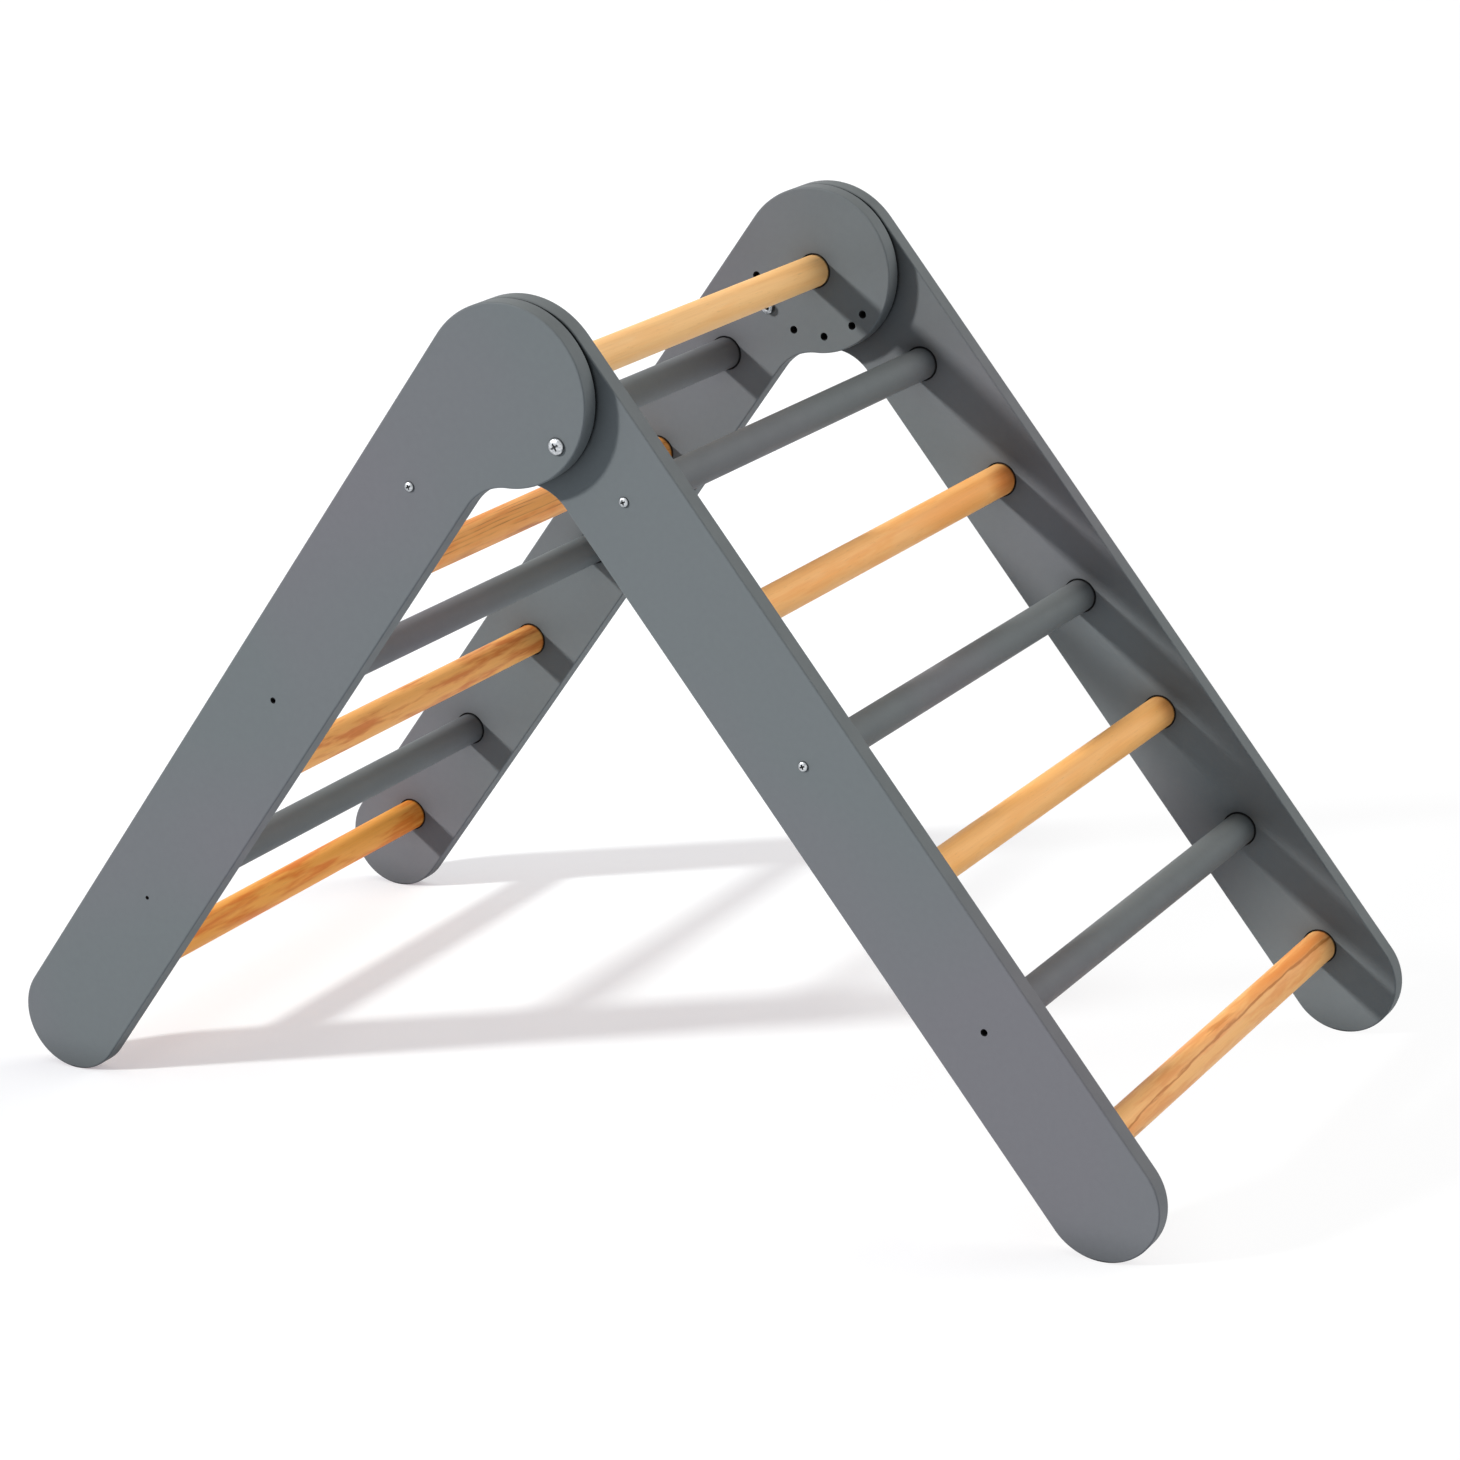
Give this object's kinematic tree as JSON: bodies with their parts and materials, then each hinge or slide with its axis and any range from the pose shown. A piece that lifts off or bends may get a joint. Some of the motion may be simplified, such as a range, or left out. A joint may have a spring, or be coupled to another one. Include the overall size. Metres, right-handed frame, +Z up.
{
  "type": "climbing triangle",
  "caption": "Folding climbing frame for small children: two wooden ladders that turn on a top dowel and bolt at set angles through rounded side heads.",
  "frame": {"origin": "on the floor, under the middle of the top dowel, at the centre of the box's base", "axes": "+Z up; +X from the left ladder's feet to the right ladder's feet; +Y along the rungs, away from the near side"},
  "size_m": [1.1352, 0.5828, 0.7591],
  "materials": {
    "grey_paint": "satin grey paint on wood",
    "natural_wood": "clear satin lacquer, grain along the rung",
    "steel": "bright zinc plate"
  },
  "bodies": {
    "left_ladder": {"near_left_panel": "grey_paint", "far_left_panel": "grey_paint", "left_rung_1": "grey_paint", "left_rung_2": "natural_wood", "left_rung_3": "grey_paint", "left_rung_4": "natural_wood", "left_rung_5": "grey_paint", "left_rung_6": "natural_wood", "pivot_rung": "natural_wood", "near_left_screw_1": "steel", "far_left_screw_1": "steel", "far_left_screw_3": "steel", "far_left_screw_5": "steel", "near_lock_bolt": "steel", "far_lock_nut": "steel"},
    "right_ladder": {"near_right_panel": "grey_paint", "far_right_panel": "grey_paint", "right_rung_1": "grey_paint", "right_rung_2": "natural_wood", "right_rung_3": "grey_paint", "right_rung_4": "natural_wood", "right_rung_5": "grey_paint", "right_rung_6": "natural_wood", "near_right_screw_1": "steel", "near_right_screw_3": "steel", "far_right_screw_1": "steel", "far_right_screw_3": "steel", "far_right_screw_5": "steel", "near_lock_nut": "steel", "far_lock_bolt": "steel"}
  },
  "joints": [
    {"name": "fold", "type": "hinge", "parent": "left_ladder", "child": "right_ladder", "pos_m": [0, 0, 0.68117], "axis": [0, -1, 0], "range_deg": [-67, 105]}
  ]
}
